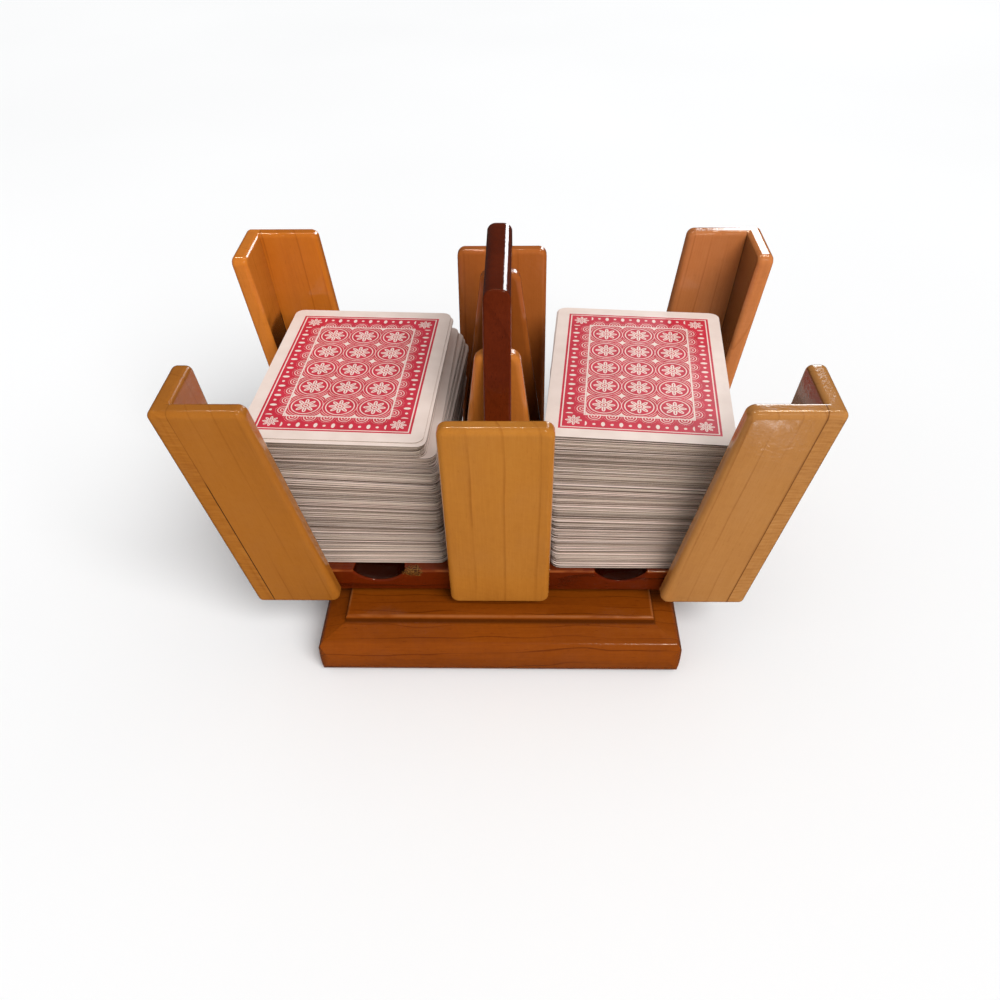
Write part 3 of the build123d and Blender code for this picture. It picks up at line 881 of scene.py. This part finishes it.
# %% How the piles stand
CARDS_IN_DECK = 52
DECKS = 4
PILES = {  # places of a pile's cards by share of its height: x, y in mm and turn in degrees
    "left": (
        (0.0, (-50.8, 2.0, 0.0)), (0.45, (-49.3, 1.6, -2.8)), (0.76, (-48.1, 1.1, -4.5)),
        (0.77, (-49.0, 1.0, -3.9)), (0.84, (-49.3, 1.0, -3.7)), (0.845, (-50.4, 0.9, -2.6)),
        (0.88, (-50.6, 0.9, -2.5)), (0.885, (-54.3, 0.9, -2.6)), (0.989, (-53.9, 0.9, -3.0)),
        (0.9895, (-52.9, -0.9, -3.1)), (0.998, (-52.9, -0.9, -3.1)),
        (0.9985, (-53.9, 0.9, -3.0)), (1.0, (-53.9, 0.9, -3.0)),
    ),
    "right": ((0.0, (50.3, -0.2, 0.0)), (0.5, (50.3, -0.9, -2.6)), (1.0, (50.3, -1.6, -5.0))),
}
PILE_HEIGHTS = {"left": 57.1 * MM, "right": 58.6 * MM}
PACK_CARDS = (3, 14)              # the fewest and most cards that slip together
PACK_SLIP = (0.30, 0.35, 0.22)    # how far: x, y in mm and turn in degrees
CARD_SLIP = (0.10, 0.16, 0.10)
WEAR_MIDDLE, WEAR_SPREAD = 0.5, 0.28
PILE_SEED = 52


def place_in_pile(pile, share):
    """The resting place of a card, between the two listed places beside it."""
    spots = PILES[pile]
    for (low, start), (high, stop) in zip(spots, spots[1:]):
        if share <= high:
            part = (share - low) / (high - low)
            return [a + part * (b - a) for a, b in zip(start, stop)]
    return list(spots[-1][1])


# %% Stacking
def lay_card(x, y, turn, height, wear):
    """A copy of the card at a place in mm, turned by degrees, its back at a height in metres."""
    card = card_pattern.copy()
    card.data = card_pattern.data.copy()
    bpy.context.collection.objects.link(card)
    card.data.transform(Matrix.Translation((x * MM, y * MM, height))
                        @ Matrix.Rotation(math.radians(turn), 4, "Z"))
    for entry in card.data.attributes["wear"].data:
        entry.value = wear
    return card


def stack_pile(pile, dice):
    """All cards of a pile as separate objects, from the foot up."""
    total = CARDS_IN_DECK * DECKS
    pitch = PILE_HEIGHTS[pile] / total
    cards = []
    pack, slip = 0, (0.0, 0.0, 0.0)
    for number in range(total):
        if pack == 0:
            pack = dice.randint(*PACK_CARDS)
            slip = tuple(dice.gauss(0.0, spread) for spread in PACK_SLIP)
        pack -= 1
        resting = place_in_pile(pile, number / (total - 1))
        x, y, turn = (place + shift + dice.gauss(0.0, spread)
                      for place, shift, spread in zip(resting, slip, CARD_SLIP))
        wear = min(max(dice.gauss(WEAR_MIDDLE, WEAR_SPREAD), 0.0), 1.0)
        cards.append(lay_card(x, y, turn, BOARD_TOP * MM + (number + 1) * pitch, wear))
    return cards


def join_cards(cards, name):
    deselect_all()
    for card in cards:
        card.select_set(True)
    bpy.context.view_layer.objects.active = cards[0]
    if len(cards) > 1:
        bpy.ops.object.join()
    piece = bpy.context.view_layer.objects.active
    piece.name = name
    return piece


# %% Stack the piles
dice = random.Random(PILE_SEED)
for pile in PILES:
    cards = stack_pile(pile, dice)
    top_card = cards.pop()
    for deck in range(1, DECKS + 1):
        deck_cards = cards[(deck - 1) * CARDS_IN_DECK: deck * CARDS_IN_DECK]
        piece = join_cards(deck_cards, f"{pile}_cards_{deck}")
        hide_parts(f"{pile}_deck_{deck}")
        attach(piece, f"{pile}_cards")
    top_card.name = f"{pile}_top_card"
    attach(top_card, f"{pile}_cards")
    print(pile, "pile stacked to", round(PILE_HEIGHTS[pile] / MM, 1), "mm")
bpy.data.objects.remove(card_pattern)

# %% [markdown]
# ## Floor and light
#
# The tray stands on a plain pale floor under soft light. One broad sun gives all the shading, and
# the lacquer doesn't mirror it. What the lacquer mirrors are a dim room, a tall window behind on
# the right, which draws the white streak along the handle, four small warm lamps for the sharp
# glints, and a few weak sparks just above the floor. These light nothing themselves, so the glints
# can be placed one by one.

# %% Floor
FLOOR_SIZE = 8.0
FLOOR_CLOUD = 400.0   # in mm
FLOOR_TONES = ((0.3, (0.92, 0.92, 0.92)), (0.7, (0.95, 0.95, 0.95)))


def make_floor():
    deselect_all()
    bpy.ops.mesh.primitive_plane_add(size=FLOOR_SIZE, location=(0.0, 0.0, 0.0))
    floor = bpy.context.object
    floor.name = "floor"
    material, tree, shader = new_material("pale_floor")
    cloud = noise(tree, object_place(tree), even(FLOOR_CLOUD))
    plug(tree, shader.inputs["Base Color"], ramp(tree, cloud, *FLOOR_TONES))
    shader.inputs["Roughness"].default_value = 0.9
    floor.data.materials.append(material)
    floor.visible_glossy = False
    return floor


floor = make_floor()
print("floor", round(floor.dimensions.x, 1), "m wide")


# %% Kinds of lamp
def make_lamp(name, place, aim, width, height, power, colour):
    """A rectangular soft lamp at a place, pointing at another."""
    light = bpy.data.lights.new(name, "AREA")
    light.shape = "RECTANGLE"
    light.size, light.size_y = width, height
    light.energy = power
    light.color = colour
    lamp = bpy.data.objects.new(name, light)
    bpy.context.collection.objects.link(lamp)
    lamp.location = place
    lamp.rotation_euler = (Vector(aim) - Vector(place)).to_track_quat("-Z", "Y").to_euler()
    return lamp


def make_sun(name, place, strength, spread, colour):
    """A broad soft source without end, from the direction of a place, its spread in degrees."""
    light = bpy.data.lights.new(name, "SUN")
    light.energy = strength
    light.angle = math.radians(spread)
    light.color = colour
    sun = bpy.data.objects.new(name, light)
    bpy.context.collection.objects.link(sun)
    sun.rotation_euler = Vector(place).to_track_quat("Z", "Y").to_euler()
    return sun


def only_mirrored(lamp):
    """A lamp that shows in the lacquer and lights nothing else."""
    lamp.visible_diffuse = False
    lamp.visible_transmission = False


# %% Sun and mirrored lamps
MIDDLE = Vector((0.0, 0.0, 0.07))
WARM, NEUTRAL, DAYLIGHT = (1.0, 0.86, 0.68), (1.0, 1.0, 1.0), (0.88, 0.96, 1.0)
SUN_PLACE, SUN_STRENGTH, SUN_SPREAD = (0.60, -0.85, 1.0), 2.4, 36.0
FAR_LAMPS = (  # degrees right of the rear and above level; distance, width, length; power, colour
    ("window", 20.1, 19.1, 1.65, 0.26, 0.66, 4.4, DAYLIGHT),
    ("tube_1", 43.3, 60.8, 1.40, 0.075, 0.16, 3.2, WARM),
    ("tube_2", -42.0, 62.0, 1.40, 0.045, 0.12, 1.6, WARM),
    ("tube_3", -6.0, 60.0, 1.40, 0.02, 0.12, 1.2, WARM),
    ("tube_4", 161.6, 51.0, 1.40, 0.04, 0.05, 1.4, WARM),
)


def far_place(aside, height, distance):
    """The place at a distance from the middle, by degrees right of the rear and above level."""
    aside, height = math.radians(aside), math.radians(height)
    return MIDDLE + distance * Vector((
        math.sin(aside) * math.cos(height), math.cos(aside) * math.cos(height), math.sin(height)))


daylight = make_sun("daylight", SUN_PLACE, SUN_STRENGTH, SUN_SPREAD, NEUTRAL)
daylight.visible_glossy = False
for name, aside, height, distance, width, length, power, colour in FAR_LAMPS:
    place = far_place(aside, height, distance)
    only_mirrored(make_lamp(name, place, MIDDLE, width, length, power, colour))
print("mirrored lamps:", len(FAR_LAMPS))

# %% Sparks
SPARKS, SPARKS_SEED = 14, 11
SPARKS_PLACE, SPARKS_AIM = Vector((0.118, -0.149, 0.002)), Vector((0.082, -0.061, 0.110))
SPARKS_ACROSS, SPARKS_ALONG = 0.0050, 0.0028
SPARK_WIDTH, SPARK_LENGTH, SPARK_POWER = 0.0026, 0.0016, 0.0001

dice = random.Random(SPARKS_SEED)
for number in range(1, SPARKS + 1):
    shift = Vector((dice.gauss(0.0, SPARKS_ACROSS), dice.gauss(0.0, SPARKS_ALONG), 0.0))
    spark = make_lamp(f"spark_{number}", SPARKS_PLACE + shift, SPARKS_AIM,
                      SPARK_WIDTH, SPARK_LENGTH, SPARK_POWER, NEUTRAL)
    spark.data.shape = "ELLIPSE"
    spark.visible_camera = False
    only_mirrored(spark)

# %% Room
WORLD_COLOUR = (0.98, 0.99, 1.0, 1.0)
WORLD_LIGHT, MIRRORED_ROOM, PALE_WALL = 0.56, 0.03, 0.97


def make_world():
    """Even light all round, a pale wall behind the floor, and a dim room for the lacquer."""
    world = bpy.data.worlds.new("studio")
    bpy.context.scene.world = world
    world.use_nodes = True
    tree = world.node_tree
    ray = tree.nodes.new("ShaderNodeLightPath")
    background = tree.nodes["Background"]
    background.inputs["Color"].default_value = WORLD_COLOUR
    mirrored, seen = (Field(tree, ray.outputs[f"Is {kind} Ray"]) for kind in ("Glossy", "Camera"))
    strength = (mirrored.rise(0.0, 1.0, WORLD_LIGHT, MIRRORED_ROOM)
                + seen * (PALE_WALL - WORLD_LIGHT))
    plug(tree, background.inputs["Strength"], strength)


make_world()
bpy.context.scene.view_settings.view_transform = "Standard"
